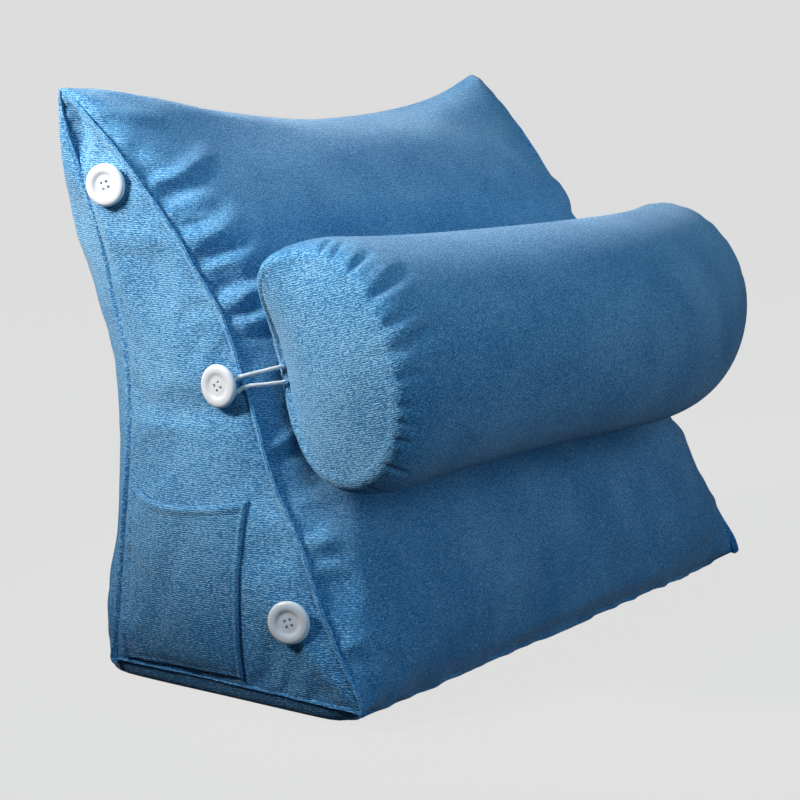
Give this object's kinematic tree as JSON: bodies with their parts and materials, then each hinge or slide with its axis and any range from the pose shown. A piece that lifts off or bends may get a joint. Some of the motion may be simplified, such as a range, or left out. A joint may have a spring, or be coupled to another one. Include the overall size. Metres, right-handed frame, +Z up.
{
  "type": "triangular wedge backrest cushion with a bolster held on by elastic loops",
  "caption": "Soft triangular backrest cushion with a side pocket, white buttons and a neck bolster that is held across its slope by elastic loops.",
  "frame": {"origin": "on the floor, under the middle of the flat base", "axes": "+X along the width, to the right of someone who looks at the slope from the front; -Y towards the front, where the slope and the bolster are; +Z up"},
  "size_m": [0.6301, 0.3767, 0.4538],
  "materials": {
    "plush": "matte",
    "plush_bolster": "matte",
    "plush_pocket": "matte",
    "button_plastic": "gloss",
    "thread": "matte",
    "elastic": "matte"
  },
  "bodies": {
    "root": {"wedge_cushion": "plush", "bolster": "plush_bolster", "pocket": "plush_pocket", "button_left_top": "button_plastic", "button_left_middle": "button_plastic", "button_left_bottom": "button_plastic", "button_right_top": "button_plastic", "button_right_middle": "button_plastic", "button_right_bottom": "button_plastic", "thread_left_top": "thread", "thread_left_middle": "thread", "thread_left_bottom": "thread", "thread_right_top": "thread", "thread_right_middle": "thread", "thread_right_bottom": "thread", "loop_left": "elastic", "loop_right": "elastic"}
  },
  "joints": []
}
